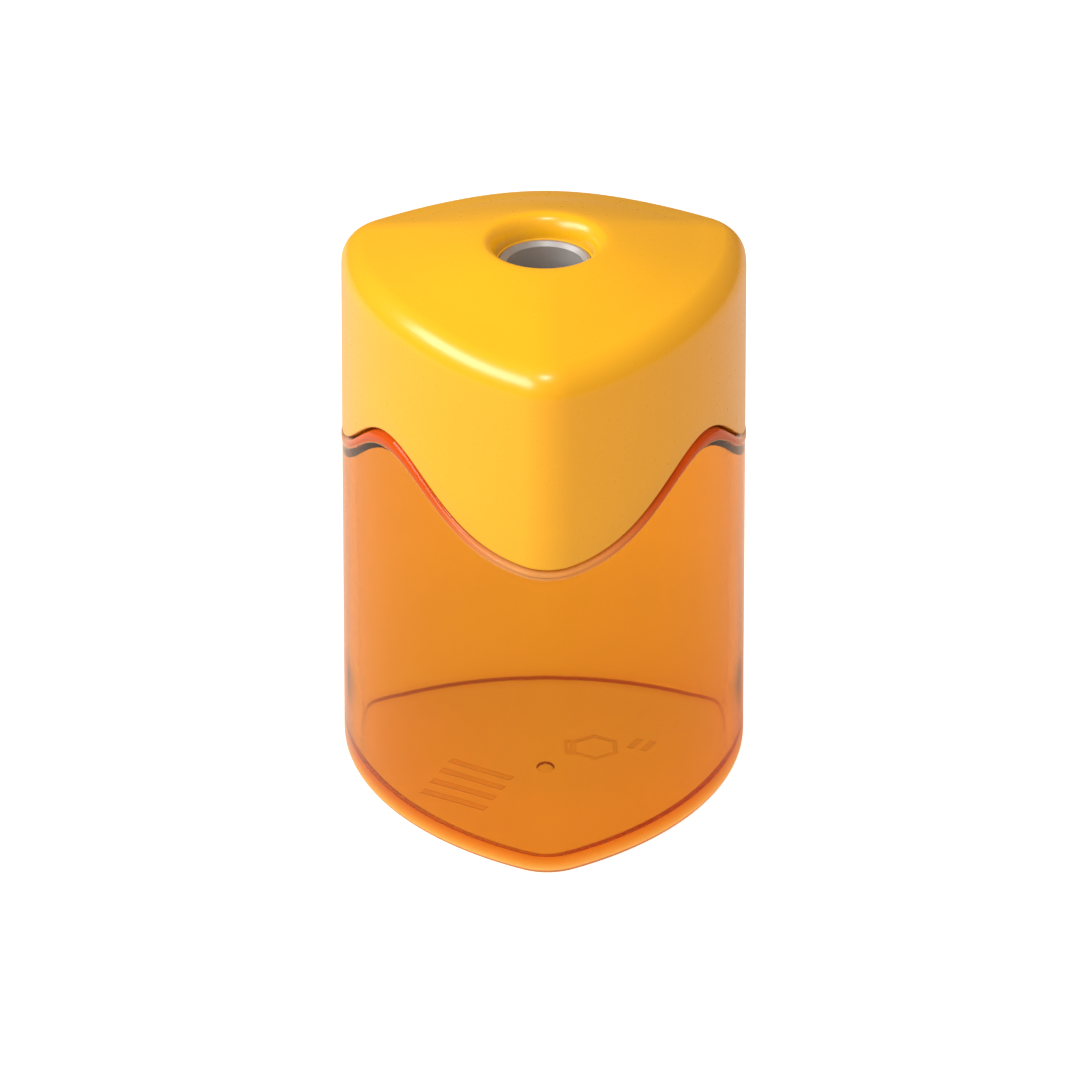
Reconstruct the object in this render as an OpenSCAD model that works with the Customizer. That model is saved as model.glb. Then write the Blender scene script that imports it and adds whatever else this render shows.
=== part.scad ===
// Canister pencil sharpener: a rounded-triangle container for the shavings,
// a domed lid that plugs over its neck, and a metal wedge sharpener that
// hangs inside the lid with its mouth in the crater on top.
// The front corner points to -Y, and the bottom face lies at z = 0.

/* [Outline] */
// Distance from the centre line to the outside of a rounded corner
corner_reach = 23.2; // [20:0.1:27.9]
// Distance from the centre line to the middle of a bowed side
side_reach = 18.7; // [15:0.1:20.5]
// Radius of the three upright corners
corner_round = 5.5; // [4.8:0.1:7]

/* [Container] */
// Height of the wavy seam between container and lid, halfway up its wave
seam_z = 39.4; // [32:0.1:47.3]
// How far the seam dips below that height at each corner
seam_dip = 3.95; // [1:0.05:5]
// How far the seam rises above that height at the middle of each side
seam_crest = 4.65; // [1:0.05:5.6]
// Flattening of the seam's troughs: 0 is a plain sine wave
seam_broad = 0.4; // [0:0.05:0.6]
// Thickness of the container's floor
floor_t = 1; // [0.8:0.1:2.5]
// Thickness of the container's wall
wall_t = 1.4; // [1.2:0.1:2]
// Radius of the bottom edge
foot_round = 0.5; // [0.3:0.1:1.2]
// How far the wall leans out between the foot and the seam
wall_draft = 0.05; // [0:0.05:0.5]
// How far the rolled rim stands out from the wall
rim_proud = 0.1; // [0.05:0.05:0.5]
// Height of the rolled rim's face
rim_face = 0.9; // [0.6:0.1:2]
// Thickness of the neck that the lid plugs over
neck_t = 1.2; // [0.8:0.1:1.6]
// Height of the neck's top above the seam
neck_rise = 7; // [6:0.1:10]

/* [Lid] */
// Height of the crater's lip, the highest part of the lid, above the seam
lip_rise = 22.05; // [20:0.05:28]
// How far the dome drops from the lip to the brow at the middle of a side
dome_drop = 2.5; // [2:0.05:5]
// How much further it drops to the brow at a corner
corner_drop = 0.8; // [0:0.1:2]
// Radius of the soft brow between the dome and the side
brow_round = 3.5; // [1.5:0.1:4.2]
// Thickness of the lid's wall
lid_t = 1.6; // [1.2:0.1:2]
// How far the lid's side leans out between the seam and the brow
lid_flare = 0; // [0:0.05:0.4]
// Gap left between the lid's edge and the container's shelf
seam_gap = 0.2; // [0.1:0.05:0.4]
// Gap left between the lid's skirt and the neck
neck_gap = 0.3; // [0.2:0.05:0.4]
// Depth of the crater below its lip
crater_depth = 2.3; // [1.8:0.05:3.5]
// Radius of the crater's lip
crater_r = 6.5; // [6:0.1:8.5]
// Depth of the lid's holder around the sharpener
holder_depth = 7.5; // [4:0.1:9]
// Thickness of the holder's walls
holder_t = 1.2; // [0.8:0.1:1.6]

/* [Sharpener] */
// Radius of the pencil guide
pencil_r = 4; // [3.3:0.05:4.8]
// Length of the straight pencil guide
guide_len = 5; // [4:0.1:7]
// Length of the cone that the point is cut in
cone_len = 16; // [14:0.1:18]
// Radius of the small clearing hole at the cone's end
tip_r = 0.75; // [0.5:0.05:1]
// Width of the wedge
block_w = 15; // [12.5:0.1:18]
// Length of the wedge, without its collar
block_len = 23; // [21.5:0.1:26]
// Distance from the pencil's axis to the wedge's flat back
block_back = 5.6; // [5.2:0.1:6.5]
// Distance from the pencil's axis to the front of the wedge's head
block_front = 6.1; // [5.6:0.1:6.6]
// Wall of the collar around the mouth
collar_wall = 0.8; // [0.6:0.05:1]
// Gap around the collar and between the wedge and its holder
holder_gap = 0.05; // [0.03:0.01:0.1]
// Thickness of the blade
blade_t = 0.6; // [0.4:0.05:0.8]
// Width of the blade
blade_w = 7.6; // [7:0.1:8]
// Thread radius of the blade screw
screw_r = 1.25; // [1:0.05:1.4]
// Head radius of the blade screw
screw_head_r = 2.5; // [2:0.1:2.8]

/* [Hidden] */
$fn = 48;

// Outline: corner arcs and side arcs that meet tangent to each other
corner_steps = 8;
side_steps = 16;
third_steps = corner_steps + side_steps;
ring_steps = 3 * third_steps;
corner_c = corner_reach - corner_round;
side_c = side_reach - corner_round;
side_back = (corner_c * corner_c - side_c * side_c) / (2 * side_c - corner_c);
side_round = side_back + side_reach;
half_turn = atan2(side_back * sin(60), corner_c + side_back * cos(60));
front = -90;

// Heights along the centre line
lip_z = seam_z + lip_rise;
crater_z = lip_z - crater_depth;
ceiling_z = crater_z - 1.5;
neck_z = seam_z + neck_rise;
block_top = ceiling_z - holder_gap;
block_end = block_top - block_len;
mouth_z = crater_z - 0.05;
cone_z = mouth_z - guide_len;
cone_end = cone_z - cone_len;

// The container's rim: its rolled face is lower than the shelf behind it
lid_low = seam_z - seam_dip;
lid_high = seam_z + seam_crest;
shelf_low = lid_low - seam_gap;
shelf_high = lid_high - seam_gap;
rim_low = shelf_low - 0.15;
rim_high = shelf_high - 0.7;
face_d = -wall_draft;
rim_d = face_d - rim_proud;
shelf_in = 0.9;
shelf_t = 1;
shelf_slope = 1.2;
floor_round = 1.5;

// The lid's skirt and the neck nest in each other
skirt_d = face_d + lid_t;
neck_d = skirt_d + neck_gap;
neck_in_d = neck_d + neck_t;
brow_d = face_d - lid_flare;
brow_start = 20;
seat_gap = 0.1;
collar_r = pencil_r + collar_wall;
hole_r = collar_r + holder_gap;
ceiling_r = 12.2;
inner_d = skirt_d + 0.4;

// The blade lies on a slope that follows the side of the cone
slope = atan2(pencil_r - tip_r, cone_len);
bite = 0.45;
blade_len = (cone_z - block_end) / cos(slope) - 0.8;
blade_edge_x = 0.35;
blade_drop = 0.3;
screw_x = blade_edge_x - blade_w / 2 - 0.7;
screw_down = blade_len * 0.6;
screw_len = 5.2;
screw_head_t = 1.2;
slot_w = 0.7;
slot_deep = 0.6;
bore_play = 0.02;

function mix(a, b, t) = a + (b - a) * t;

// Height of a wavy edge at polar angle a from the front corner
function wave(a, low, high) =
    (low + high) / 2 - seam_broad - (high - low) / 2 * cos(3 * a) + seam_broad * cos(6 * a);

// Point i of the outline, moved inwards by d
function in_corner(i) = i % third_steps < corner_steps;
function turn(i) =
    let (j = i % third_steps)
    in_corner(i)
        ? mix(-half_turn, half_turn, j / corner_steps)
        : mix(half_turn, 120 - half_turn, (j - corner_steps) / side_steps);
function arc_centre(i) = in_corner(i) ? [corner_c, 0] : -side_back * [cos(60), sin(60)];
function arc_radius(i) = in_corner(i) ? corner_round : side_round;
function local_point(i, d) =
    arc_centre(i) + (arc_radius(i) - d) * [cos(turn(i)), sin(turn(i))];
function polar(i) = let (p = local_point(i, 0)) atan2(p.y, p.x);
function heading(i) = front + 120 * floor(i / third_steps);
function spin(p, a) = [p.x * cos(a) - p.y * sin(a), p.x * sin(a) + p.y * cos(a)];
function outline_point(i, d) = spin(local_point(i, d), heading(i));
function circle_point(i, r) = r * [cos(heading(i) + polar(i)), sin(heading(i) + polar(i))];

// Rings of points: level or wavy rings, circles, and rings laid on the dome
function ring(d, low, high) =
    [for (i = [0 : ring_steps - 1])
        let (p = outline_point(i, d))
        [p.x, p.y, low == high ? low : wave(polar(i), low, high)]];
function level(d, z) = ring(d, z, z);
function disc(r, z) = [for (i = [0 : ring_steps - 1]) let (p = circle_point(i, r)) [p.x, p.y, z]];

// The dome rises from the brow to the crater's lip, and the brow is lowest at the corners
function brow_z(i) = lip_z - dome_drop - corner_drop * (1 + cos(3 * polar(i))) / 2;
function brow_ring(inset, sink) =
    [for (i = [0 : ring_steps - 1])
        let (p = outline_point(i, inset))
        [p.x, p.y, brow_z(i) - sink]];
function blend_point(i, d, r, t) = mix(outline_point(i, d), circle_point(i, r), t);
function dome_ring(t) =
    [for (i = [0 : ring_steps - 1])
        let (p = blend_point(i, brow_d + brow_round, crater_r, t))
        [p.x, p.y, mix(lip_z, brow_z(i), pow(1 - t, 1.2))]];
function under_ring(t) =
    [for (i = [0 : ring_steps - 1])
        let (p = blend_point(i, inner_d + lid_t, ceiling_r, t))
        [p.x, p.y, mix(brow_z(i) - lid_t, ceiling_z, t)]];

// Solid through a list of rings, closed flat at its first and last ring
module loft(rings) {
    n = ring_steps;
    last = len(rings) - 1;
    points = [for (r = rings) each r];
    sides = [for (k = [0 : last - 1], i = [0 : n - 1])
        let (a = k * n + i, b = k * n + (i + 1) % n)
        each [[a, a + n, b + n], [a, b + n, b]]];
    bottom = [for (i = [0 : n - 1]) i];
    top = [for (i = [0 : n - 1]) last * n + n - 1 - i];
    polyhedron(points = points, faces = concat([bottom, top], sides));
}

// Cross-section of the container, from its underside over the neck to its floor
function container_rings() = [
    for (a = [0 : 30 : 90])
        level(foot_round * (1 - sin(a)), foot_round * (1 - cos(a))),
    ring(face_d, rim_low - rim_face, rim_high - rim_face),
    ring(mix(face_d, rim_d, 0.75), rim_low - rim_face * 0.75, rim_high - rim_face * 0.75),
    for (a = [0 : 30 : 90])
        ring(
            rim_d + shelf_in * (1 - cos(a)),
            mix(rim_low - rim_face * 0.3, shelf_low, sin(a)),
            mix(rim_high - rim_face * 0.3, shelf_high, sin(a))
        ),
    ring(neck_d, shelf_low, shelf_high),
    level(neck_d, neck_z - neck_t / 3),
    level(neck_d + neck_t / 3, neck_z),
    level(neck_in_d - neck_t / 4, neck_z),
    level(neck_in_d, neck_z - neck_t / 4),
    ring(neck_in_d, shelf_low - shelf_t, shelf_high - shelf_t),
    ring(face_d + wall_t, shelf_low - shelf_t - shelf_slope, shelf_high - shelf_t - shelf_slope),
    for (a = [0 : 30 : 90])
        level(wall_t + floor_round * (1 - cos(a)), floor_t + floor_round * (1 - sin(a)))
];

module container() {
    color([0.88, 0.54, 0.14, 0.6]) loft(container_rings());
}

// Cross-section of the lid, from its ceiling round the skirt to the crater
function lid_inner_rings() = [
    disc(ceiling_r, ceiling_z),
    for (t = [0.6, 0.25])
        under_ring(t),
    for (a = [30 : 30 : 90])
        brow_ring(inner_d + lid_t * (1 - sin(a)), lid_t * (2 - cos(a))),
    level(inner_d, neck_z + seat_gap + 2),
    level(skirt_d + lid_t * 0.9, neck_z + seat_gap + 1),
    level(skirt_d + lid_t * 0.9, neck_z + seat_gap),
    level(skirt_d, neck_z + seat_gap),
    ring(skirt_d, lid_low, lid_high)
];
function lid_outer_rings() = [
    ring(face_d + 0.25, lid_low, lid_high),
    ring(face_d, lid_low + 0.25, lid_high + 0.25),
    for (a = [90, 74, 58, 44, 30, brow_start])
        brow_ring(brow_d + brow_round * (1 - sin(a)), brow_round * (1 - cos(a))),
    for (t = [0.2, 0.4, 0.6, 0.8])
        dome_ring(t),
    for (a = [0 : 15 : 90])
        disc(mix(crater_r, hole_r + 0.15, sin(a)), mix(crater_z, lip_z, cos(a)))
];

// Four walls that grip the head of the wedge
module holder() {
    in_w = block_w + 2 * holder_gap;
    in_l = block_front + block_back + 2 * holder_gap;
    translate([0, (block_back - block_front) / 2, ceiling_z - holder_depth])
        linear_extrude(holder_depth + 0.5)
            difference() {
                square([in_w + 2 * holder_t, in_l + 2 * holder_t], center = true);
                square([in_w, in_l], center = true);
            }
}

module lid() {
    color([0.98, 0.74, 0.12])
        difference() {
            union() {
                loft(concat(lid_inner_rings(), lid_outer_rings()));
                difference() {
                    holder();
                    translate([0, 0, ceiling_z])
                        cylinder(r = hole_r + 0.3, h = 1);
                }
            }
            translate([0, 0, ceiling_z - 1])
                cylinder(r = hole_r, h = crater_depth + 2);
        }
}

// Places a child on the blade's slope: x across, z out of the slope
module on_slope() {
    translate([0, -(pencil_r - bite), cone_z])
        rotate([slope, 0, 0])
            rotate([90, 0, 0])
                children();
}

// Side view of the wedge: y runs to the back, z up
function wedge_profile() =
    let (
        drop = cone_z - block_end,
        slope_y = -(pencil_r - bite),
        foot_y = slope_y + drop * tan(slope)
    )
    [
        [block_back, block_top],
        [-block_front, block_top],
        [-block_front, cone_z + 1],
        [slope_y, cone_z],
        [foot_y, block_end],
        [block_back, block_end]
    ];

// Shallow hollow down one side of the wedge, where fingers hold it
module grip_hollow() {
    grip_r = 22;
    grip_depth = 1.1;
    translate([block_w / 2 + grip_r - grip_depth, block_back + 1, block_end + block_len * 0.42])
        rotate([90, 0, 0])
            cylinder(r = grip_r, h = block_back + block_front + 2, $fn = 96);
}

module sharpener_body() {
    color([0.72, 0.72, 0.72])
        difference() {
            union() {
                rotate([90, 0, 90])
                    translate([0, 0, -block_w / 2])
                        linear_extrude(block_w)
                            polygon(wedge_profile());
                translate([0, 0, block_top - 1])
                    cylinder(r = collar_r, h = mouth_z - block_top + 1);
            }
            translate([0, 0, cone_z])
                cylinder(r = pencil_r, h = guide_len + 1);
            translate([0, 0, cone_end])
                cylinder(r1 = tip_r, r2 = pencil_r, h = cone_len);
            translate([0, 0, block_end - 1])
                cylinder(r = tip_r, h = cone_end - block_end + 1.01);
            translate([0, 0, mouth_z - 0.4])
                cylinder(r1 = pencil_r, r2 = pencil_r + 0.6, h = 0.6);
            on_slope()
                translate([screw_x, -screw_down, -screw_len])
                    cylinder(r = screw_r + bore_play, h = screw_len + 1);
            grip_hollow();
            mirror([1, 0, 0]) grip_hollow();
        }
}

module blade() {
    color([0.78, 0.8, 0.83])
        on_slope()
            difference() {
                rotate([0, -90, 0])
                    translate([0, 0, -blade_edge_x])
                        linear_extrude(blade_w)
                            polygon([
                                [0, -blade_drop],
                                [blade_t, -blade_drop],
                                [blade_t, -blade_drop - blade_len],
                                [0, -blade_drop - blade_len]
                            ]);
                translate([screw_x, -screw_down, -1])
                    cylinder(r = screw_r + 0.25, h = blade_t + 2);
                // Ground bevel along the cutting edge
                translate([blade_edge_x, 0, blade_t])
                    rotate([0, 68, 0])
                        translate([-1, -blade_len - 1, 0])
                            cube([2, blade_len + 2, 1]);
            }
}

module blade_screw() {
    color([0.6, 0.6, 0.6])
        on_slope()
            translate([screw_x, -screw_down, 0])
                difference() {
                    union() {
                        translate([0, 0, 0.3 - screw_len])
                            cylinder(r = screw_r, h = screw_len + blade_t);
                        translate([0, 0, blade_t])
                            cylinder(r1 = screw_head_r, r2 = screw_head_r - 0.4, h = screw_head_t);
                    }
                    translate([-screw_head_r - 1, -slot_w / 2, blade_t + screw_head_t - slot_deep])
                        cube([2 * screw_head_r + 2, slot_w, slot_deep + 1]);
                }
}

container();
lid();
sharpener_body();
blade();
blade_screw();
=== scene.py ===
# %% [markdown]
# # A canister pencil sharpener
# The real object is two plastic mouldings and a standard metal sharpener. A clear orange container catches
# the shavings, an opaque yellow lid plugs over its neck, and a wedge of cast metal hangs inside the lid with
# its mouth in a crater on top. This lesson builds each of them around a fixed frame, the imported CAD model,
# and gives them their plastic and metal finishes.

import math

import bmesh
import bpy
from mathutils import Matrix, Vector


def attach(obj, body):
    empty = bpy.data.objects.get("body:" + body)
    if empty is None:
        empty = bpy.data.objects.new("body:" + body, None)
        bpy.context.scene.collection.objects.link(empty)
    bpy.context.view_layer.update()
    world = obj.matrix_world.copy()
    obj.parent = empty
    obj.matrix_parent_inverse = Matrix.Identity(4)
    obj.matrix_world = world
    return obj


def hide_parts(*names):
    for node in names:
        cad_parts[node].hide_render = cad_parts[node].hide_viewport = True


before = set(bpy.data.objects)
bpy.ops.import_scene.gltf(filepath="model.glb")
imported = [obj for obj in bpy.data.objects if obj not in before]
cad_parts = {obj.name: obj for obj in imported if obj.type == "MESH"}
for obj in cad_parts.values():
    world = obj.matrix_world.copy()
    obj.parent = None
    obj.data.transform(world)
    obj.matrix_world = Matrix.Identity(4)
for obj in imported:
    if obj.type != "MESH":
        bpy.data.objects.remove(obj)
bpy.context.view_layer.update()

# %% [markdown]
# ## The outline
# Seen from above, the object is a triangle with bowed sides and rounded corners. A designer draws it with two
# kinds of arc that meet tangent to each other: a small arc round each corner and a long arc along each side.
# A spline could follow the same shape, but arcs can be moved inwards by an exact wall thickness, so that the
# inside of a wall, the neck and the lid's skirt all come from one outline.

# %% Outline values
MM = 0.001
CORNER_REACH = 23.2 * MM
SIDE_REACH = 18.7 * MM
CORNER_ROUND = 5.5 * MM
CORNER_STEPS = 16
SIDE_STEPS = 48
THIRD_STEPS = CORNER_STEPS + SIDE_STEPS
RING_STEPS = 3 * THIRD_STEPS

corner_centre = CORNER_REACH - CORNER_ROUND
side_middle = SIDE_REACH - CORNER_ROUND
side_back = (corner_centre**2 - side_middle**2) / (2 * side_middle - corner_centre)
side_round = side_back + SIDE_REACH
THIRD_TURN = math.radians(120)
half_turn = math.atan2(
    side_back * math.sin(THIRD_TURN / 2), corner_centre + side_back * math.cos(THIRD_TURN / 2)
)
corner_arc = 2 * math.degrees(half_turn)
print(f"side arc radius {side_round / MM:.1f} mm, corner arc {corner_arc:.1f} degrees")


# %% Points of the outline
def mix(a, b, t):
    return a + (b - a) * t


def local_point(i, inset):
    """Point i of one third of the outline, moved inwards, with the corner on +X."""
    j = i % THIRD_STEPS
    if j < CORNER_STEPS:
        angle = mix(-half_turn, half_turn, j / CORNER_STEPS)
        centre, radius = Vector((corner_centre, 0)), CORNER_ROUND
    else:
        angle = mix(half_turn, THIRD_TURN - half_turn, (j - CORNER_STEPS) / SIDE_STEPS)
        centre = -side_back * Vector((math.cos(THIRD_TURN / 2), math.sin(THIRD_TURN / 2)))
        radius = side_round
    return centre + (radius - inset) * Vector((math.cos(angle), math.sin(angle)))


def heading(i):
    """Direction of the corner that point i belongs to: the first corner points to -Y."""
    return math.radians(-90) + THIRD_TURN * (i // THIRD_STEPS)


def from_corner(i):
    """Polar angle of point i, counted from its own corner."""
    point = local_point(i, 0)
    return math.atan2(point.y, point.x)


def outline_point(i, inset):
    x, y = local_point(i, inset)
    c, s = math.cos(heading(i)), math.sin(heading(i))
    return Vector((x * c - y * s, x * s + y * c))


def circle_point(i, radius):
    angle = heading(i) + from_corner(i)
    return radius * Vector((math.cos(angle), math.sin(angle)))


# %% [markdown]
# ## The wavy seam
# The lid's edge dips at each corner and rises along each side, three times round. One cosine of three times
# the polar angle gives that wave, and a second, smaller one broadens the dips. Every ring that follows the
# seam asks this one function for its height, so that the lid's edge, the shelf and the rolled rim stay in
# step.

# %% Seam values and ring helpers
SEAM_Z = 39.4 * MM
SEAM_DIP = 3.95 * MM
SEAM_CREST = 4.65 * MM
SEAM_BROAD = 0.4 * MM
SEAM_GAP = 0.2 * MM
lid_low, lid_high = SEAM_Z - SEAM_DIP, SEAM_Z + SEAM_CREST
shelf_low, shelf_high = lid_low - SEAM_GAP, lid_high - SEAM_GAP
rim_low, rim_high = shelf_low - 0.15 * MM, shelf_high - 0.7 * MM


def wave(angle, low, high):
    swing = (high - low) / 2
    return (
        (low + high) / 2
        - SEAM_BROAD
        - swing * math.cos(3 * angle)
        + SEAM_BROAD * math.cos(6 * angle)
    )


def ring(inset, low, high):
    """A ring of the outline whose height follows the seam's wave."""
    return [
        (*outline_point(i, inset), wave(from_corner(i), low, high)) for i in range(RING_STEPS)
    ]


def level(inset, z):
    return [(*outline_point(i, inset), z) for i in range(RING_STEPS)]


def disc(radius, z):
    return [(*circle_point(i, radius), z) for i in range(RING_STEPS)]


def steps(start, end, count):
    return [mix(start, end, k / count) for k in range(count + 1)]


# %% [markdown]
# ## Modelling by extrusion
# Both mouldings are thin walls with a long cross-section. The way a hand modeller would do it is to add a
# circle, shape it into the outline, and extrude its edge again and again, up the outside, over the top and
# down the inside. The helper below does just that, and then closes the two ends.

# %% Skin helper
def focus(piece):
    """Makes the piece the only selected object and the active one."""
    bpy.ops.object.select_all(action="DESELECT")
    bpy.context.view_layer.objects.active = piece
    piece.select_set(True)


def start_edit(piece):
    focus(piece)
    bpy.ops.object.mode_set(mode="EDIT")


def lay_ring(piece, places):
    """Moves the selected loop of vertices onto the places given."""
    mesh = bmesh.from_edit_mesh(piece.data)
    for vertex, place in zip([v for v in mesh.verts if v.select], places):
        vertex.co = place
    bmesh.update_edit_mesh(piece.data)


def select_rings(piece, *numbers):
    bpy.ops.mesh.select_all(action="DESELECT")
    mesh = bmesh.from_edit_mesh(piece.data)
    mesh.verts.ensure_lookup_table()
    for number in numbers:
        for i in range(RING_STEPS):
            mesh.verts[number * RING_STEPS + i].select = True
    mesh.select_flush(True)
    bmesh.update_edit_mesh(piece.data)


def skin(name, rings, hole=False):
    """A closed solid through rings of points: capped at its ends, or joined end to end round a hole."""
    bpy.ops.object.select_all(action="DESELECT")
    bpy.ops.mesh.primitive_circle_add(vertices=RING_STEPS, radius=CORNER_REACH)
    piece = bpy.context.object
    piece.name = piece.data.name = name
    start_edit(piece)
    bpy.ops.mesh.select_mode(type="VERT")
    bpy.ops.mesh.select_all(action="SELECT")
    lay_ring(piece, rings[0])
    for places in rings[1:]:
        bpy.ops.mesh.extrude_edges_move()
        lay_ring(piece, places)
    last = len(rings) - 1
    if hole:
        select_rings(piece, 0, last)
        bpy.ops.mesh.bridge_edge_loops()
    else:
        for number in (0, last):
            select_rings(piece, number)
            bpy.ops.mesh.edge_face_add()
    bpy.ops.mesh.select_all(action="SELECT")
    bpy.ops.mesh.normals_make_consistent(inside=False)
    bpy.ops.object.mode_set(mode="OBJECT")
    bpy.ops.object.shade_smooth_by_angle(angle=math.radians(40))
    print(f"{name}: {len(piece.data.vertices)} points, {len(piece.data.polygons)} faces")
    return piece


# %% [markdown]
# ## The container
# A clear moulded cup. Its wall leans out a little so that it leaves the mould, its foot is rounded, and the
# top turns over in a rolled rim that follows the seam. Behind the rim a shelf carries the lid's edge, and a
# thin neck goes up inside the lid. The underside keeps the dimple where the plastic entered the mould. The
# rim and the foot are painted deeper and redder than the wall. This is partly the tone of the thick plastic
# and partly painted shade: under the lid's edge on the rim, strongest along the sides where that band is
# tallest, and where the cup stands on the floor at the foot. A value stored on their points carries this
# to the finish.

# %% Container values
FLOOR_T = 1 * MM
WALL_T = 1.4 * MM
FOOT_ROUND = 0.5 * MM
WALL_DRAFT = 0.05 * MM
RIM_PROUD = 0.1 * MM
RIM_FACE = 0.9 * MM
NECK_T = 1.2 * MM
NECK_RISE = 7 * MM
LID_T = 1.6 * MM
NECK_GAP = 0.3 * MM
SHELF_IN = 0.9 * MM
SHELF_T = 1 * MM
SHELF_SLOPE = 1.2 * MM
FLOOR_ROUND = 1.5 * MM
GATE_R = 1.25 * MM
GATE_DEEP = 0.6 * MM
GATE_FORWARD = Vector((0, -1 * MM, 0))
GATE_RINGS = 5
# How deep the painted tone and shade are, from 0 in the clear wall to 1 on the rim beside the corners
RIM_AT_CORNER = 0.4
FOOT_TONE_AND_SHADE = 0.75
face_in = -WALL_DRAFT
rim_in = face_in - RIM_PROUD
skirt_in = face_in + LID_T
neck_in = skirt_in + NECK_GAP
neck_back = neck_in + NECK_T
neck_z = SEAM_Z + NECK_RISE


# %% Container cross-section
def blend_ring(inset, radius, t, z):
    """A flat ring between the outline and a circle."""
    return [
        (*mix(outline_point(i, inset), circle_point(i, radius), t), z) for i in range(RING_STEPS)
    ]


def container_rings():
    """The rings from the gate's dimple to the inside of the floor, and the bands of foot and rim."""
    gate = [
        disc(GATE_R * (1 - t), GATE_DEEP * math.sin(math.radians(90) * t) ** 0.6)
        for t in (k / GATE_RINGS for k in reversed(range(GATE_RINGS)))
    ]
    rings = [[tuple(Vector(p) + GATE_FORWARD) for p in places] for places in gate]
    rings += [blend_ring(FOOT_ROUND, GATE_R * 3, t, 0) for t in (1, 0.6, 0.25)]
    foot_from = len(rings)
    rings.append(level(FOOT_ROUND + 0.2 * MM, 0))
    for a in steps(0, math.pi / 2, 6):
        rings.append(level(FOOT_ROUND * (1 - math.sin(a)), FOOT_ROUND * (1 - math.cos(a))))
    foot_to = len(rings) - 1
    for t in (0.25, 0.5, 0.75, 0.95):
        rings.append(
            ring(face_in * t, mix(0, rim_low - RIM_FACE, t), mix(0, rim_high - RIM_FACE, t))
        )
    rim_from = len(rings) + 1
    for a in steps(0, math.pi / 2, 4):
        rise = 0.6 * RIM_FACE * math.sin(a) - RIM_FACE
        rings.append(
            ring(mix(face_in, rim_in, 1 - math.cos(a)), rim_low + rise, rim_high + rise)
        )
    for a in steps(0, math.pi / 2, 8)[1:]:
        rings.append(
            ring(
                rim_in + SHELF_IN * (1 - math.cos(a)),
                mix(rim_low - 0.3 * RIM_FACE, shelf_low, math.sin(a)),
                mix(rim_high - 0.3 * RIM_FACE, shelf_high, math.sin(a)),
            )
        )
    rings.append(ring(neck_in - 0.2 * MM, shelf_low, shelf_high))
    rim_to = len(rings)
    rings.append(ring(neck_in, shelf_low + 0.2 * MM, shelf_high + 0.2 * MM))
    for a in steps(0, math.pi, 8):
        rings.append(
            level(
                neck_in + NECK_T / 2 * (1 - math.cos(a)),
                neck_z - NECK_T / 2 * (1 - math.sin(a)),
            )
        )
    under_low, under_high = shelf_low - SHELF_T, shelf_high - SHELF_T
    for a in steps(0, math.pi, 8):
        t = (1 - math.cos(a)) / 2
        rings.append(
            ring(
                mix(neck_back, face_in + WALL_T, t),
                under_low - SHELF_SLOPE * t,
                under_high - SHELF_SLOPE * t,
            )
        )
    for t in (0.35, 0.7):
        rings.append(
            ring(
                mix(face_in, 0, t) + WALL_T,
                mix(under_low - SHELF_SLOPE, FLOOR_T + FLOOR_ROUND, t),
                mix(under_high - SHELF_SLOPE, FLOOR_T + FLOOR_ROUND, t),
            )
        )
    for a in steps(0, math.pi / 2, 8):
        rings.append(
            level(
                WALL_T + FLOOR_ROUND * (1 - math.cos(a)),
                FLOOR_T + FLOOR_ROUND * (1 - math.sin(a)),
            )
        )
    rings.append(level(WALL_T + FLOOR_ROUND + 0.3 * MM, FLOOR_T))
    # The foot's value and the rim's stand for the thick plastic's tone and for painted shade
    foot = (foot_from, foot_to, FOOT_TONE_AND_SHADE, FOOT_TONE_AND_SHADE)
    rim = (rim_from, rim_to, 1.0, RIM_AT_CORNER)
    return rings, (foot, rim)


def paint_rings(piece, name, bands):
    """A value on every point: each band of rings has one beside the corners and one at them."""
    layer = piece.data.attributes.new(name, "FLOAT", "POINT")
    for number, value in enumerate(layer.data):
        dip = ((1 + math.cos(3 * from_corner(number % RING_STEPS))) / 2) ** 3
        for first, last, at_side, at_corner in bands:
            if first <= number // RING_STEPS < last:
                value.value = mix(at_side, at_corner, dip)


# The value stored below paints the rim and the foot with the thick plastic's tone and with painted shade
rings, tone_and_shade_bands = container_rings()
container = skin("container_shell", rings)
paint_rings(container, "tone_and_shade", tone_and_shade_bands)

# %% [markdown]
# ## The lid
# An opaque moulded cap. Its side rises straight from the seam, a soft brow turns into a shallow dome, and a
# round crater sinks to the hole where the metal mouth shows. Inside, the wall steps in above the neck, where
# the lid rests when it is pushed on, and four walls under the ceiling grip the wedge.

# %% Lid values
LIP_RISE = 22.05 * MM
DOME_DROP = 2.5 * MM
CORNER_DROP = 0.8 * MM
BROW_ROUND = 3.5 * MM
BROW_START = math.radians(20)
CRATER_DEPTH = 2.3 * MM
CRATER_R = 6.5 * MM
EDGE_ROUND = 0.25 * MM
SEAT_GAP = 0.1 * MM
CEILING_T = 1.5 * MM
CEILING_R = 12.2 * MM
RIB_SHARE = 0.9
PENCIL_R = 4 * MM
COLLAR_WALL = 0.8 * MM
HOLDER_GAP = 0.05 * MM
lip_z = SEAM_Z + LIP_RISE
crater_z = lip_z - CRATER_DEPTH
ceiling_z = crater_z - CEILING_T
brow_in = face_in
hole_r = PENCIL_R + COLLAR_WALL + HOLDER_GAP
inner_in = skirt_in + 0.4 * MM


# %% Lid cross-section
def brow_z(i):
    """The brow is lowest at the corners."""
    return lip_z - DOME_DROP - CORNER_DROP * (1 + math.cos(3 * from_corner(i))) / 2


def brow_ring(inset, sink):
    return [(*outline_point(i, inset), brow_z(i) - sink) for i in range(RING_STEPS)]


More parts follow.
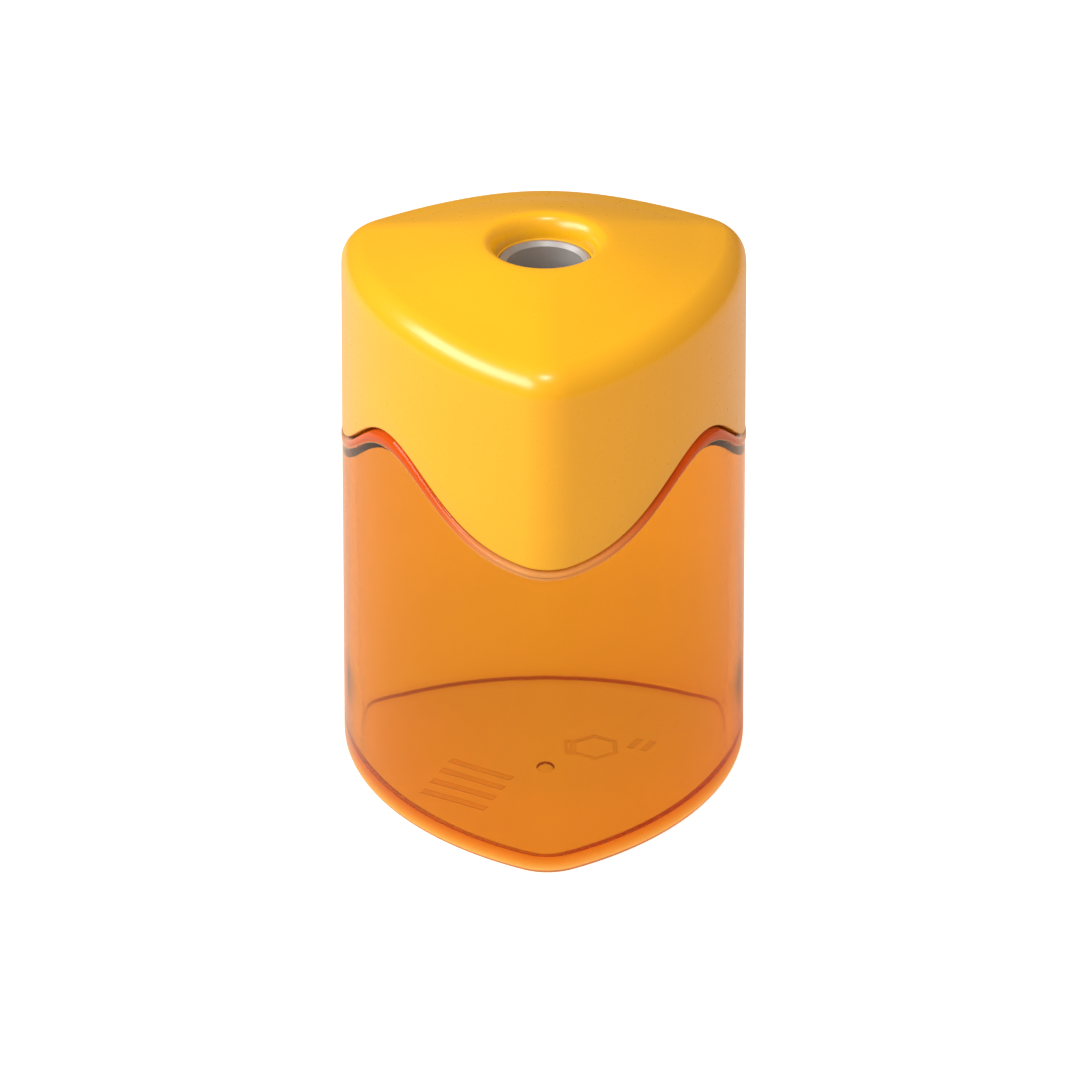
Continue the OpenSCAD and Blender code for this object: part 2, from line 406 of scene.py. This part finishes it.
def dome_ring(t):
    """Part t of the way from the brow to the crater's lip, steepest at the brow."""
    places = []
    for i in range(RING_STEPS):
        point = mix(outline_point(i, brow_in + BROW_ROUND), circle_point(i, CRATER_R), t)
        places.append((*point, mix(lip_z, brow_z(i), (1 - t) ** 1.2)))
    return places


def under_ring(t):
    """Part t of the way from the wall to the flat ceiling round the sharpener."""
    places = []
    for i in range(RING_STEPS):
        point = mix(outline_point(i, inner_in + LID_T), circle_point(i, CEILING_R), t)
        places.append((*point, mix(brow_z(i) - LID_T, ceiling_z, t)))
    return places


def lid_rings():
    """The rings from the hole, out under the ceiling, down inside, up outside and back to the hole."""
    rings = [disc(hole_r, ceiling_z), disc(CEILING_R, ceiling_z)]
    rings += [under_ring(t) for t in (0.75, 0.5, 0.25, 0.1)]
    for a in steps(0, math.pi / 2, 6):
        rings.append(brow_ring(inner_in + LID_T * (1 - math.sin(a)), LID_T * (2 - math.cos(a))))
    rib_in = skirt_in + RIB_SHARE * LID_T
    rib_z = neck_z + SEAT_GAP
    rings += [level(inner_in, rib_z + 2 * MM), level(rib_in, rib_z + 1 * MM)]
    rings += [level(rib_in, rib_z), level(skirt_in, rib_z)]
    for a in steps(0, math.pi / 2, 3):
        inset = skirt_in - EDGE_ROUND * (1 - math.cos(a))
        lift = EDGE_ROUND * (1 - math.sin(a))
        rings.append(ring(inset, lid_low + lift, lid_high + lift))
    for a in steps(0, math.pi / 2, 4):
        inset = face_in + EDGE_ROUND * (1 - math.sin(a))
        lift = EDGE_ROUND * (1 - math.cos(a))
        rings.append(ring(inset, lid_low + lift, lid_high + lift))
    low_brow = brow_ring(brow_in, BROW_ROUND)
    seam = rings[-1]
    for t in (0.2, 0.4, 0.6, 0.8):
        rings.append([tuple(mix(Vector(p), Vector(q), t)) for p, q in zip(seam, low_brow)])
    for a in steps(math.pi / 2, BROW_START, 12):
        inset = BROW_ROUND * (1 - math.sin(a))
        rings.append(brow_ring(brow_in + inset, BROW_ROUND * (1 - math.cos(a))))
    rings += [dome_ring(t) for t in (0.08, 0.2, 0.35, 0.5, 0.65, 0.8, 0.92)]
    for a in steps(0, math.pi / 2, 12):
        radius = mix(CRATER_R, hole_r + 0.15 * MM, math.sin(a))
        rings.append(disc(radius, mix(crater_z, lip_z, math.cos(a))))
    rings.append(disc(hole_r, crater_z - 0.1 * MM))
    return rings


lid = skin("lid_shell", lid_rings(), hole=True)

# %% [markdown]
# ## The metal sharpener
# A wedge of cast light metal with a round mouth on top. It starts as its side profile, extruded across. Its
# edges are bevelled as a casting's are, and the holes are cut with tools shaped like the drills that make
# them: a straight guide for the pencil, a cone that opens at the blade's slope, and the screw's hole. A
# hollow down each side with ribs across it is where fingers hold such a sharpener when it is used loose.

# %% Sharpener values
GUIDE_LEN = 5 * MM
CONE_LEN = 16 * MM
TIP_R = 0.75 * MM
BLOCK_W = 15 * MM
BLOCK_LEN = 23 * MM
BLOCK_BACK = 5.6 * MM
BLOCK_FRONT = 6.1 * MM
BITE = 0.45 * MM
HOLDER_DEPTH = 7.5 * MM
HOLDER_T = 1.2 * MM
BLADE_T = 0.6 * MM
BLADE_W = 7.6 * MM
BLADE_EDGE = 0.35 * MM
BLADE_DROP = 0.3 * MM
BLADE_SHORT = 0.8 * MM
SCREW_R = 1.25 * MM
SCREW_HEAD_R = 2.5 * MM
SCREW_HEAD_T = 1.2 * MM
SCREW_LEN = 5.2 * MM
SCREW_ASIDE = 0.7 * MM
SCREW_ALONG = 0.6
block_top = ceiling_z - HOLDER_GAP
block_end = block_top - BLOCK_LEN
mouth_z = crater_z - 0.05 * MM
cone_z = mouth_z - GUIDE_LEN
cone_end = cone_z - CONE_LEN
collar_r = PENCIL_R + COLLAR_WALL
slope = math.atan2(PENCIL_R - TIP_R, CONE_LEN)
slope_y = -(PENCIL_R - BITE)
blade_len = (cone_z - block_end) / math.cos(slope) - BLADE_SHORT
screw_x = BLADE_EDGE - BLADE_W / 2 - SCREW_ASIDE
screw_y = -SCREW_ALONG * blade_len
# The blade's own frame: x across, y up the slope, z out of it
on_slope = (
    Matrix.Translation((0, slope_y, cone_z))
    @ Matrix.Rotation(slope, 4, "X")
    @ Matrix.Rotation(math.radians(90), 4, "X")
)


# %% Solid helpers
def adopt(name):
    """Names the object that was just added and settles its place, turn and size in its mesh."""
    piece = bpy.context.object
    piece.name = piece.data.name = name
    bpy.ops.object.transform_apply(location=True, rotation=True, scale=True)
    return piece


def box(name, low, high):
    bpy.ops.object.select_all(action="DESELECT")
    middle = [(a + b) / 2 for a, b in zip(low, high)]
    size = [b - a for a, b in zip(low, high)]
    bpy.ops.mesh.primitive_cube_add(size=1, location=middle, scale=size)
    return adopt(name)


def drum(name, radius_low, radius_high, z_low, z_high, x=0.0, y=0.0, points=64):
    bpy.ops.object.select_all(action="DESELECT")
    bpy.ops.mesh.primitive_cone_add(
        vertices=points,
        radius1=radius_low,
        radius2=radius_high,
        depth=z_high - z_low,
        location=(x, y, (z_low + z_high) / 2),
    )
    return adopt(name)


def place(piece, matrix):
    focus(piece)
    piece.matrix_world = matrix
    bpy.ops.object.transform_apply(location=True, rotation=True, scale=True)
    return piece


def combine(piece, tool, operation):
    """Cuts the tool out of the piece, or melts it onto the piece, and removes the tool."""
    focus(piece)
    change = piece.modifiers.new("combine", "BOOLEAN")
    change.operation, change.solver, change.object = operation, "EXACT", tool
    bpy.ops.object.modifier_apply(modifier=change.name)
    bpy.ops.object.select_all(action="DESELECT")
    tool.select_set(True)
    bpy.ops.object.delete()
    return piece


def soften(piece, width, angle=30, segments=3):
    """Bevels every edge that is sharper than the angle, and shades the rest smooth."""
    focus(piece)
    change = piece.modifiers.new("soften", "BEVEL")
    change.width, change.segments = width, segments
    change.limit_method, change.angle_limit = "ANGLE", math.radians(angle)
    change.use_clamp_overlap = True
    bpy.ops.object.modifier_apply(modifier=change.name)
    bpy.ops.object.shade_smooth_by_angle(angle=math.radians(35))
    return piece


def extruded(name, outline, depth):
    """A prism: a circle's points laid on the outline, filled, and extruded along its depth."""
    bpy.ops.object.select_all(action="DESELECT")
    bpy.ops.mesh.primitive_circle_add(vertices=len(outline), radius=MM, fill_type="NGON")
    piece = bpy.context.object
    piece.name = piece.data.name = name
    start_edit(piece)
    bpy.ops.mesh.select_all(action="SELECT")
    lay_ring(piece, outline)
    bpy.ops.mesh.extrude_region_move(TRANSFORM_OT_translate={"value": depth})
    bpy.ops.mesh.select_all(action="SELECT")
    bpy.ops.mesh.normals_make_consistent(inside=False)
    bpy.ops.object.mode_set(mode="OBJECT")
    return piece


# %% The wedge
GRIP_R = 22 * MM
GRIP_DEEP = 1.1 * MM
GRIP_UP = 0.42
RIB_GAP = 1.5 * MM
GROOVE_R = 0.35 * MM
GROOVE_SIDE = 5


def wedge():
    foot_y = slope_y + (cone_z - block_end) * math.tan(slope)
    side = [
        (BLOCK_BACK, block_top),
        (-BLOCK_FRONT, block_top),
        (-BLOCK_FRONT, cone_z + 1 * MM),
        (slope_y, cone_z),
        (foot_y, block_end),
        (BLOCK_BACK, block_end),
    ]
    body = extruded(
        "sharpener_wedge", [(-BLOCK_W / 2, y, z) for y, z in side], (BLOCK_W, 0, 0)
    )
    soften(body, 0.35 * MM)
    collar = drum("collar", collar_r, collar_r, block_top - 1 * MM, mouth_z, points=96)
    soften(collar, 0.12 * MM)
    combine(body, collar, "UNION")
    middle = block_end + GRIP_UP * BLOCK_LEN
    turn = Matrix.Rotation(math.radians(90), 4, "X")
    for side_sign in (1, -1):
        hollow = drum("hollow", GRIP_R, GRIP_R, -10 * MM, 10 * MM, points=192)
        centre = side_sign * (BLOCK_W / 2 + GRIP_R - GRIP_DEEP)
        place(hollow, Matrix.Translation((centre, 0, middle)) @ turn)
        combine(body, hollow, "DIFFERENCE")
    guide = drum("guide", PENCIL_R, PENCIL_R, cone_z, mouth_z + 1 * MM, points=96)
    combine(guide, drum("cone", TIP_R, PENCIL_R, cone_end, cone_z, points=96), "UNION")
    combine(guide, drum("tip", TIP_R, TIP_R, block_end - 1 * MM, cone_end + 0.01 * MM), "UNION")
    mouth = drum(
        "mouth", PENCIL_R, PENCIL_R + 0.6 * MM, mouth_z - 0.4 * MM, mouth_z + 0.2 * MM, points=96
    )
    combine(guide, mouth, "UNION")
    combine(body, guide, "DIFFERENCE")
    thread = drum(
        "thread", SCREW_R + 0.02 * MM, SCREW_R + 0.02 * MM, -SCREW_LEN, 1 * MM, screw_x, screw_y
    )
    combine(body, place(thread, on_slope), "DIFFERENCE")
    for side_sign in (1, -1):
        for k in range(-GROOVE_SIDE, GROOVE_SIDE + 1):
            lean = k * RIB_GAP / GRIP_R
            reach = side_sign * (BLOCK_W / 2 + GRIP_R - GRIP_DEEP - GRIP_R * math.cos(lean))
            groove = drum("groove", GROOVE_R, GROOVE_R, -10 * MM, 10 * MM, points=16)
            place(
                groove, Matrix.Translation((reach, 0, middle + GRIP_R * math.sin(lean))) @ turn
            )
            combine(body, groove, "DIFFERENCE")
    focus(body)
    bpy.ops.object.shade_smooth_by_angle(angle=math.radians(30))
    return body


sharpener = wedge()

# %% [markdown]
# ## The blade and its screw
# Both are modelled flat in the blade's own frame and then laid on the slope. The blade is a ground strip with
# a bevel along its cutting edge and a hole for the screw. The screw's head is a low drum with a slot.


# %% The blade and the screw
def blade_strip():
    blade = box(
        "blade_strip",
        (BLADE_EDGE - BLADE_W, -BLADE_DROP - blade_len, 0),
        (BLADE_EDGE, -BLADE_DROP, BLADE_T),
    )
    start_edit(blade)
    bpy.ops.mesh.select_all(action="SELECT")
    lean = math.radians(68)
    bpy.ops.mesh.bisect(
        plane_co=(BLADE_EDGE, 0, BLADE_T * 0.12),
        plane_no=(math.cos(math.radians(90) - lean), 0, math.cos(lean)),
        use_fill=True,
        clear_outer=True,
    )
    bpy.ops.object.mode_set(mode="OBJECT")
    hole = drum(
        "hole", SCREW_R + 0.25 * MM, SCREW_R + 0.25 * MM, -1 * MM, 2 * MM, screw_x, screw_y
    )
    combine(blade, hole, "DIFFERENCE")
    soften(blade, 0.05 * MM, angle=50, segments=2)
    return place(blade, on_slope)


def slotted_screw():
    top = BLADE_T + SCREW_HEAD_T
    screw = drum(
        "slotted_screw", SCREW_HEAD_R, SCREW_HEAD_R - 0.4 * MM, BLADE_T, top, screw_x, screw_y
    )
    slot = box(
        "slot",
        (screw_x - 3 * MM, screw_y - 0.35 * MM, top - 0.6 * MM),
        (screw_x + 3 * MM, screw_y + 0.35 * MM, top + 1 * MM),
    )
    combine(screw, slot, "DIFFERENCE")
    soften(screw, 0.12 * MM)
    shank = drum(
        "shank", SCREW_R, SCREW_R, 0.3 * MM - SCREW_LEN, BLADE_T + 0.3 * MM, screw_x, screw_y
    )
    soften(shank, 0.2 * MM)
    combine(screw, shank, "UNION")
    place(screw, on_slope)
    bpy.ops.object.shade_smooth_by_angle(angle=math.radians(30))
    return screw


blade = blade_strip()
screw = slotted_screw()

# %% [markdown]
# ## Marks under the floor
# A moulding carries shallow marks from its mould. These are plain ones without meaning: a row of bars on one
# side of the dimple, and a ring with two short bars on the other, cut a tenth of a millimetre deep.

# %% Mould marks
MARK_DEEP = 0.12 * MM
MARK_AT = (5.2 * MM, 3.2 * MM)
FLAT = 0.9999


def cut_bar(x, y, length, width, turn):
    bar = box(
        "bar", (-length / 2, -width / 2, -1 * MM), (length / 2, width / 2, MARK_DEEP)
    )
    matrix = Matrix.Translation((x * MM, y * MM, 0)) @ Matrix.Rotation(math.radians(turn), 4, "Z")
    combine(container, place(bar, matrix), "DIFFERENCE")


for row in range(4):
    cut_bar(-6.6 - 0.9 * row, -1.6 - 2.1 * row, 7.5 * MM, 0.9 * MM, -32)
mark = drum("mark", 2.9 * MM, 2.7 * MM, -1 * MM, MARK_DEEP, *MARK_AT, points=6)
inner = drum("inner", 2 * MM, 2.2 * MM, -2 * MM, 1 * MM, *MARK_AT, points=6)
combine(mark, inner, "DIFFERENCE")
combine(container, mark, "DIFFERENCE")
cut_bar(9.4, 3.9, 2.2 * MM, 0.7 * MM, 60)
cut_bar(10.8, 3.2, 2.2 * MM, 0.7 * MM, 60)
focus(container)
bpy.ops.object.shade_smooth_by_angle(angle=math.radians(40))
for face in container.data.polygons:
    if abs(face.normal.z) > FLAT:
        face.use_smooth = False

# %% [markdown]
# ## The holder inside the lid
# Four walls under the lid's ceiling grip the head of the wedge. They are part of the lid's moulding, so they
# are joined to its mesh.


# %% The holder
def holder():
    in_x = BLOCK_W / 2 + HOLDER_GAP
    front, back = -BLOCK_FRONT - HOLDER_GAP, BLOCK_BACK + HOLDER_GAP
    low, high = ceiling_z - HOLDER_DEPTH, ceiling_z + 0.5 * MM
    walls = box(
        "holder",
        (-in_x - HOLDER_T, front - HOLDER_T, low),
        (in_x + HOLDER_T, back + HOLDER_T, high),
    )
    soften(walls, 0.3 * MM)
    inside = box("inside", (-in_x, front, low - 1 * MM), (in_x, back, high + 1 * MM))
    combine(walls, inside, "DIFFERENCE")
    return walls


def join(piece, other):
    focus(piece)
    other.select_set(True)
    bpy.ops.object.join()


join(lid, holder())

# %% Camera
CAMERA_AZIMUTH = math.radians(-0.8)
CAMERA_ELEVATION = math.radians(29)
CAMERA_DISTANCE = 1.8
CAMERA_AIM = Vector((-0.5, 0, 26.6)) * MM
SENSOR = 36.0
LENS = 576.0


def add_camera():
    c, s = math.cos(CAMERA_AZIMUTH), math.sin(CAMERA_AZIMUTH)
    ce, se = math.cos(CAMERA_ELEVATION), math.sin(CAMERA_ELEVATION)
    back = Vector((s * ce, -c * ce, se))
    data = bpy.data.cameras.new("camera")
    data.lens, data.sensor_width = LENS, SENSOR
    data.clip_start, data.clip_end = 0.01, 20
    camera = bpy.data.objects.new("camera", data)
    bpy.context.scene.collection.objects.link(camera)
    camera.location = CAMERA_DISTANCE * back
    camera.rotation_euler = (camera.location - CAMERA_AIM).to_track_quat("Z", "Y").to_euler()
    bpy.context.scene.camera = camera
    return camera


add_camera()

# %% [markdown]
# ## Finishes
# Clear orange plastic takes half of its colour from its skin and half from a volume that absorbs green and
# blue with depth. On the rim and the foot the value stored on the points leads it to a redder, less clear
# tone, which is partly the thick plastic's own tone and partly painted shade under the lid's edge and
# where the cup stands on the floor. The yellow plastic is opaque and glossy. The metals get a fine grain
# from noise, laid on Object coordinates so that it stays put on the piece.


# %% Node helpers
def new_material(name):
    material = bpy.data.materials.new(name)
    material.use_nodes = True
    tree = material.node_tree
    tree.nodes.clear()
    output = tree.nodes.new("ShaderNodeOutputMaterial")
    return material, tree, output


def add_node(tree, kind, **values):
    """A node with plain values set on its own sockets; names use _ for a space."""
    node = tree.nodes.new(kind)
    for key, value in values.items():
        node.inputs[key.replace("_", " ")].default_value = value
    return node


def object_coordinates(tree):
    return tree.nodes.new("ShaderNodeTexCoord").outputs["Object"]


def noise(tree, coordinates, scale, detail=2.0, roughness=0.5):
    node = add_node(tree, "ShaderNodeTexNoise", Scale=scale, Detail=detail, Roughness=roughness)
    tree.links.new(coordinates, node.inputs["Vector"])
    return node.outputs["Fac"]


def painted(tree, name):
    """A value stored on the piece's own points."""
    node = tree.nodes.new("ShaderNodeAttribute")
    node.attribute_name = name
    return node.outputs["Fac"]


def spread(tree, factor, low, high):
    """Maps a 0 to 1 pattern onto a range of values."""
    node = tree.nodes.new("ShaderNodeMapRange")
    node.inputs["To Min"].default_value = low
    node.inputs["To Max"].default_value = high
    tree.links.new(factor, node.inputs["Value"])
    return node.outputs["Result"]


def calculate(tree, operation, first, second):
    node = tree.nodes.new("ShaderNodeMath")
    node.operation = operation
    for socket, value in zip(node.inputs, (first, second)):
        if isinstance(value, float):
            socket.default_value = value
        else:
            tree.links.new(value, socket)
    return node.outputs["Value"]


def two_tone(tree, factor, dark, light):
    node = tree.nodes.new("ShaderNodeValToRGB")
    node.color_ramp.elements[0].color = (*dark, 1)
    node.color_ramp.elements[1].color = (*light, 1)
    tree.links.new(factor, node.inputs["Fac"])
    return node.outputs["Color"]


def bump(tree, height, strength, distance):
    node = add_node(tree, "ShaderNodeBump", Strength=strength, Distance=distance)
    tree.links.new(height, node.inputs["Height"])
    return node.outputs["Normal"]


# %% Clear orange plastic
CLEAR_IOR = 1.3
CLEAR_SKIN = (0.83, 0.7, 0.3)
CLEAR_TINT = (0.94, 0.72, 0.05, 1)
CLEAR_DENSITY = 860
# The colour the rim and the foot are painted towards: the thick plastic's tone and painted shade
THICK_AND_SHADED_SKIN = (0.5, 0.07, 0.004)
RIM_CLEAR = 0.08
LAMP_TINT = (0.94, 0.72, 0.4, 1)


def clear_orange():
    material, tree, output = new_material("clear_orange_plastic")
    place = object_coordinates(tree)
    plastic = add_node(tree, "ShaderNodeBsdfPrincipled", IOR=CLEAR_IOR)
    # The stored value paints the rim and the foot redder and less clear: thick plastic's tone and painted
    # shade
    tone_and_shade = painted(tree, "tone_and_shade")
    tree.links.new(two_tone(tree, tone_and_shade, CLEAR_SKIN, THICK_AND_SHADED_SKIN), plastic.inputs["Base Color"])
    clearness = spread(tree, tone_and_shade, 1, RIM_CLEAR)
    tree.links.new(clearness, plastic.inputs["Transmission Weight"])
    grain = noise(tree, place, 900, 3)
    tree.links.new(spread(tree, grain, 0.02, 0.06), plastic.inputs["Roughness"])
    tree.links.new(bump(tree, noise(tree, place, 120, 1), 0.05, 0.02 * MM), plastic.inputs["Normal"])
    lamp_glass = add_node(tree, "ShaderNodeBsdfTransparent", Color=LAMP_TINT)
    path = tree.nodes.new("ShaderNodeLightPath")
    blend = tree.nodes.new("ShaderNodeMixShader")
    tree.links.new(path.outputs["Is Shadow Ray"], blend.inputs["Fac"])
    tree.links.new(plastic.outputs["BSDF"], blend.inputs[1])
    tree.links.new(lamp_glass.outputs["BSDF"], blend.inputs[2])
    absorb = add_node(
        tree, "ShaderNodeVolumeAbsorption", Color=CLEAR_TINT, Density=CLEAR_DENSITY
    )
    tree.links.new(blend.outputs["Shader"], output.inputs["Surface"])
    tree.links.new(absorb.outputs["Volume"], output.inputs["Volume"])
    return material


# %% Yellow plastic
YELLOW_DEEP = (0.7, 0.365, 0.001)
YELLOW_PALE = (0.72, 0.39, 0.003)


def yellow_plastic():
    material, tree, output = new_material("yellow_plastic")
    place = object_coordinates(tree)
    plastic = add_node(
        tree, "ShaderNodeBsdfPrincipled", IOR=1.5, Coat_Weight=0.4, Coat_Roughness=0.22
    )
    tone = two_tone(tree, noise(tree, place, 90, 4), YELLOW_DEEP, YELLOW_PALE)
    tree.links.new(tone, plastic.inputs["Base Color"])
    grain = noise(tree, place, 1400, 3, 0.6)
    tree.links.new(spread(tree, grain, 0.24, 0.34), plastic.inputs["Roughness"])
    tree.links.new(bump(tree, grain, 0.08, 0.01 * MM), plastic.inputs["Normal"])
    tree.links.new(plastic.outputs["BSDF"], output.inputs["Surface"])
    return material


# %% Metals
def metal(name, dark, light, rough_low, rough_high, stretch, scale, metallic=1.0):
    """A metal with a grain that can be stretched along one axis, as brushing and turning leave it."""
    material, tree, output = new_material(name)
    shape = tree.nodes.new("ShaderNodeMapping")
    shape.inputs["Scale"].default_value = stretch
    tree.links.new(object_coordinates(tree), shape.inputs["Vector"])
    surface = add_node(tree, "ShaderNodeBsdfPrincipled", Metallic=metallic)
    grain = noise(tree, shape.outputs["Vector"], scale, 4, 0.6)
    tree.links.new(two_tone(tree, grain, dark, light), surface.inputs["Base Color"])
    tree.links.new(spread(tree, grain, rough_low, rough_high), surface.inputs["Roughness"])
    tree.links.new(bump(tree, grain, 0.25, 0.02 * MM), surface.inputs["Normal"])
    tree.links.new(surface.outputs["BSDF"], output.inputs["Surface"])
    return material


orange = clear_orange()
yellow = yellow_plastic()
cast_metal = metal(
    "cast_light_metal", (0.31, 0.31, 0.31), (0.41, 0.41, 0.41), 0.36, 0.52, (1, 1, 6), 500, 0.4
)
blade_steel = metal("blade_steel", (0.5, 0.51, 0.53), (0.68, 0.69, 0.71), 0.16, 0.3, (1, 8, 1), 700)
screw_steel = metal("screw_steel", (0.34, 0.34, 0.34), (0.5, 0.5, 0.49), 0.25, 0.42, (1, 1, 1), 900)

# %% Join the pieces to the frame
for piece, finish, node, body, slot in (
    (container, orange, "container", "container_body", "clear_orange_plastic"),
    (lid, yellow, "lid", "lid_body", "yellow_plastic"),
    (sharpener, cast_metal, "sharpener_body", "lid_body", "cast_light_metal"),
    (blade, blade_steel, "blade", "lid_body", "blade_steel"),
    (screw, screw_steel, "blade_screw", "screw_body", "screw_steel"),
):
    piece.data.materials.append(finish)
    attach(piece, body)
    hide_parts(node)

# %% [markdown]
# ## The studio
# A plain pale floor, an even white surround, and soft lights: a broad one to the left that draws the long
# highlight on the lid's brow, and a smaller one above the front. Floor and surround are set brighter where
# they are looked at than where they light the object or are mirrored in it, so that the backdrop stays white.
# The floor lies a fiftieth of a millimetre above the container's bottom face: two faces at one height would
# show through each other in streaks.

# %% Stage and lights
FLOOR_SIZE = 6.0
FLOOR_Z = 0.02 * MM
FLOOR_GLOW = 0.8
FLOOR_GLOW_THROUGH = 0.56
FLOOR_NEAR = 0.35
FLOOR_PAPER = (0.58, 0.5, 0.44, 1)
FLOOR_DIM = (0.07, 0.07, 0.07, 1)
SURROUND_SEEN = 1.0
SURROUND_LIGHT = 1.04
SURROUND_WARMTH = (1, 0.76, 0.6, 1)
SURROUND_GLOSS = 0.12
MIX_FACTOR, MIX_FIRST, MIX_SECOND, MIX_RESULT = 0, 6, 7, 2


def blend_colours(tree, factor, first, second):
    """A colour between two; a Mix node keeps its colours in sockets of their own."""
    node = tree.nodes.new("ShaderNodeMix")
    node.data_type = "RGBA"
    node.inputs[MIX_FIRST].default_value = first
    node.inputs[MIX_SECOND].default_value = second
    tree.links.new(factor, node.inputs[MIX_FACTOR])
    return node.outputs[MIX_RESULT]


def ray_kinds(tree):
    """The kinds of ray that meet a surface, and those of them that are mirrored."""
    path = tree.nodes.new("ShaderNodeLightPath").outputs
    mirrored = calculate(tree, "MULTIPLY", path["Is Glossy Ray"], path["Is Reflection Ray"])
    return path, mirrored


def pale_floor():
    """Matt paper on a light table: it glows a little where it is looked at, so that it stays white."""
    material, tree, output = new_material("pale_floor")
    paper = add_node(tree, "ShaderNodeBsdfPrincipled", Roughness=0.8)
    paper.inputs["Specular IOR Level"].default_value = 0.1
    paper.inputs["Emission Color"].default_value = (1, 1, 1, 1)
    path, mirrored = ray_kinds(tree)
    far = calculate(tree, "GREATER_THAN", path["Ray Length"], FLOOR_NEAR)
    dim = calculate(tree, "MULTIPLY", mirrored, far)
    tree.links.new(blend_colours(tree, dim, FLOOR_PAPER, FLOOR_DIM), paper.inputs["Base Color"])
    straight = spread(tree, path["Is Camera Ray"], 0, FLOOR_GLOW)
    through = spread(tree, path["Is Transmission Ray"], 0, FLOOR_GLOW_THROUGH)
    glow = calculate(tree, "ADD", straight, through)
    tree.links.new(glow, paper.inputs["Emission Strength"])
    tree.links.new(paper.outputs["BSDF"], output.inputs["Surface"])
    return material


def add_floor():
    bpy.ops.object.select_all(action="DESELECT")
    bpy.ops.mesh.primitive_plane_add(size=FLOOR_SIZE, location=(0, 0, FLOOR_Z))
    floor = bpy.context.object
    floor.name = "floor"
    floor.data.materials.append(pale_floor())


def add_softbox(name, azimuth, elevation, distance, width, height, watts):
    """A soft rectangular light aimed at the object, placed by its direction."""
    a, e = math.radians(azimuth), math.radians(elevation)
    out = Vector((math.sin(a) * math.cos(e), -math.cos(a) * math.cos(e), math.sin(e)))
    data = bpy.data.lights.new(name, "AREA")
    data.shape = "RECTANGLE"
    data.size, data.size_y, data.energy = width, height, watts
    light = bpy.data.objects.new(name, data)
    bpy.context.scene.collection.objects.link(light)
    light.location = out * distance + Vector((0, 0, SEAM_Z))
    light.rotation_euler = out.to_track_quat("Z", "Y").to_euler()
    return light


def add_world():
    """A white surround that is dimmer as a light, and dimmer again in reflections, than it looks."""
    world = bpy.data.worlds.new("surround")
    world.use_nodes = True
    tree = world.node_tree
    background = tree.nodes["Background"]
    path, mirrored = ray_kinds(tree)
    direct = calculate(tree, "MAXIMUM", path["Is Camera Ray"], path["Is Transmission Ray"])
    colour = blend_colours(tree, path["Is Diffuse Ray"], (1, 1, 1, 1), SURROUND_WARMTH)
    tree.links.new(colour, background.inputs["Color"])
    lit = spread(tree, direct, SURROUND_LIGHT, SURROUND_SEEN)
    change = spread(tree, mirrored, 0, SURROUND_GLOSS - SURROUND_LIGHT)
    tree.links.new(calculate(tree, "ADD", lit, change), background.inputs["Strength"])
    bpy.context.scene.world = world


add_floor()
add_world()
add_softbox("key_softbox", -70, 35, distance=0.6, width=0.66, height=0.24, watts=3.8)
add_softbox("front_softbox", -8, 64, distance=0.6, width=0.14, height=0.1, watts=0.8)
bpy.context.scene.view_settings.view_transform = "Standard"
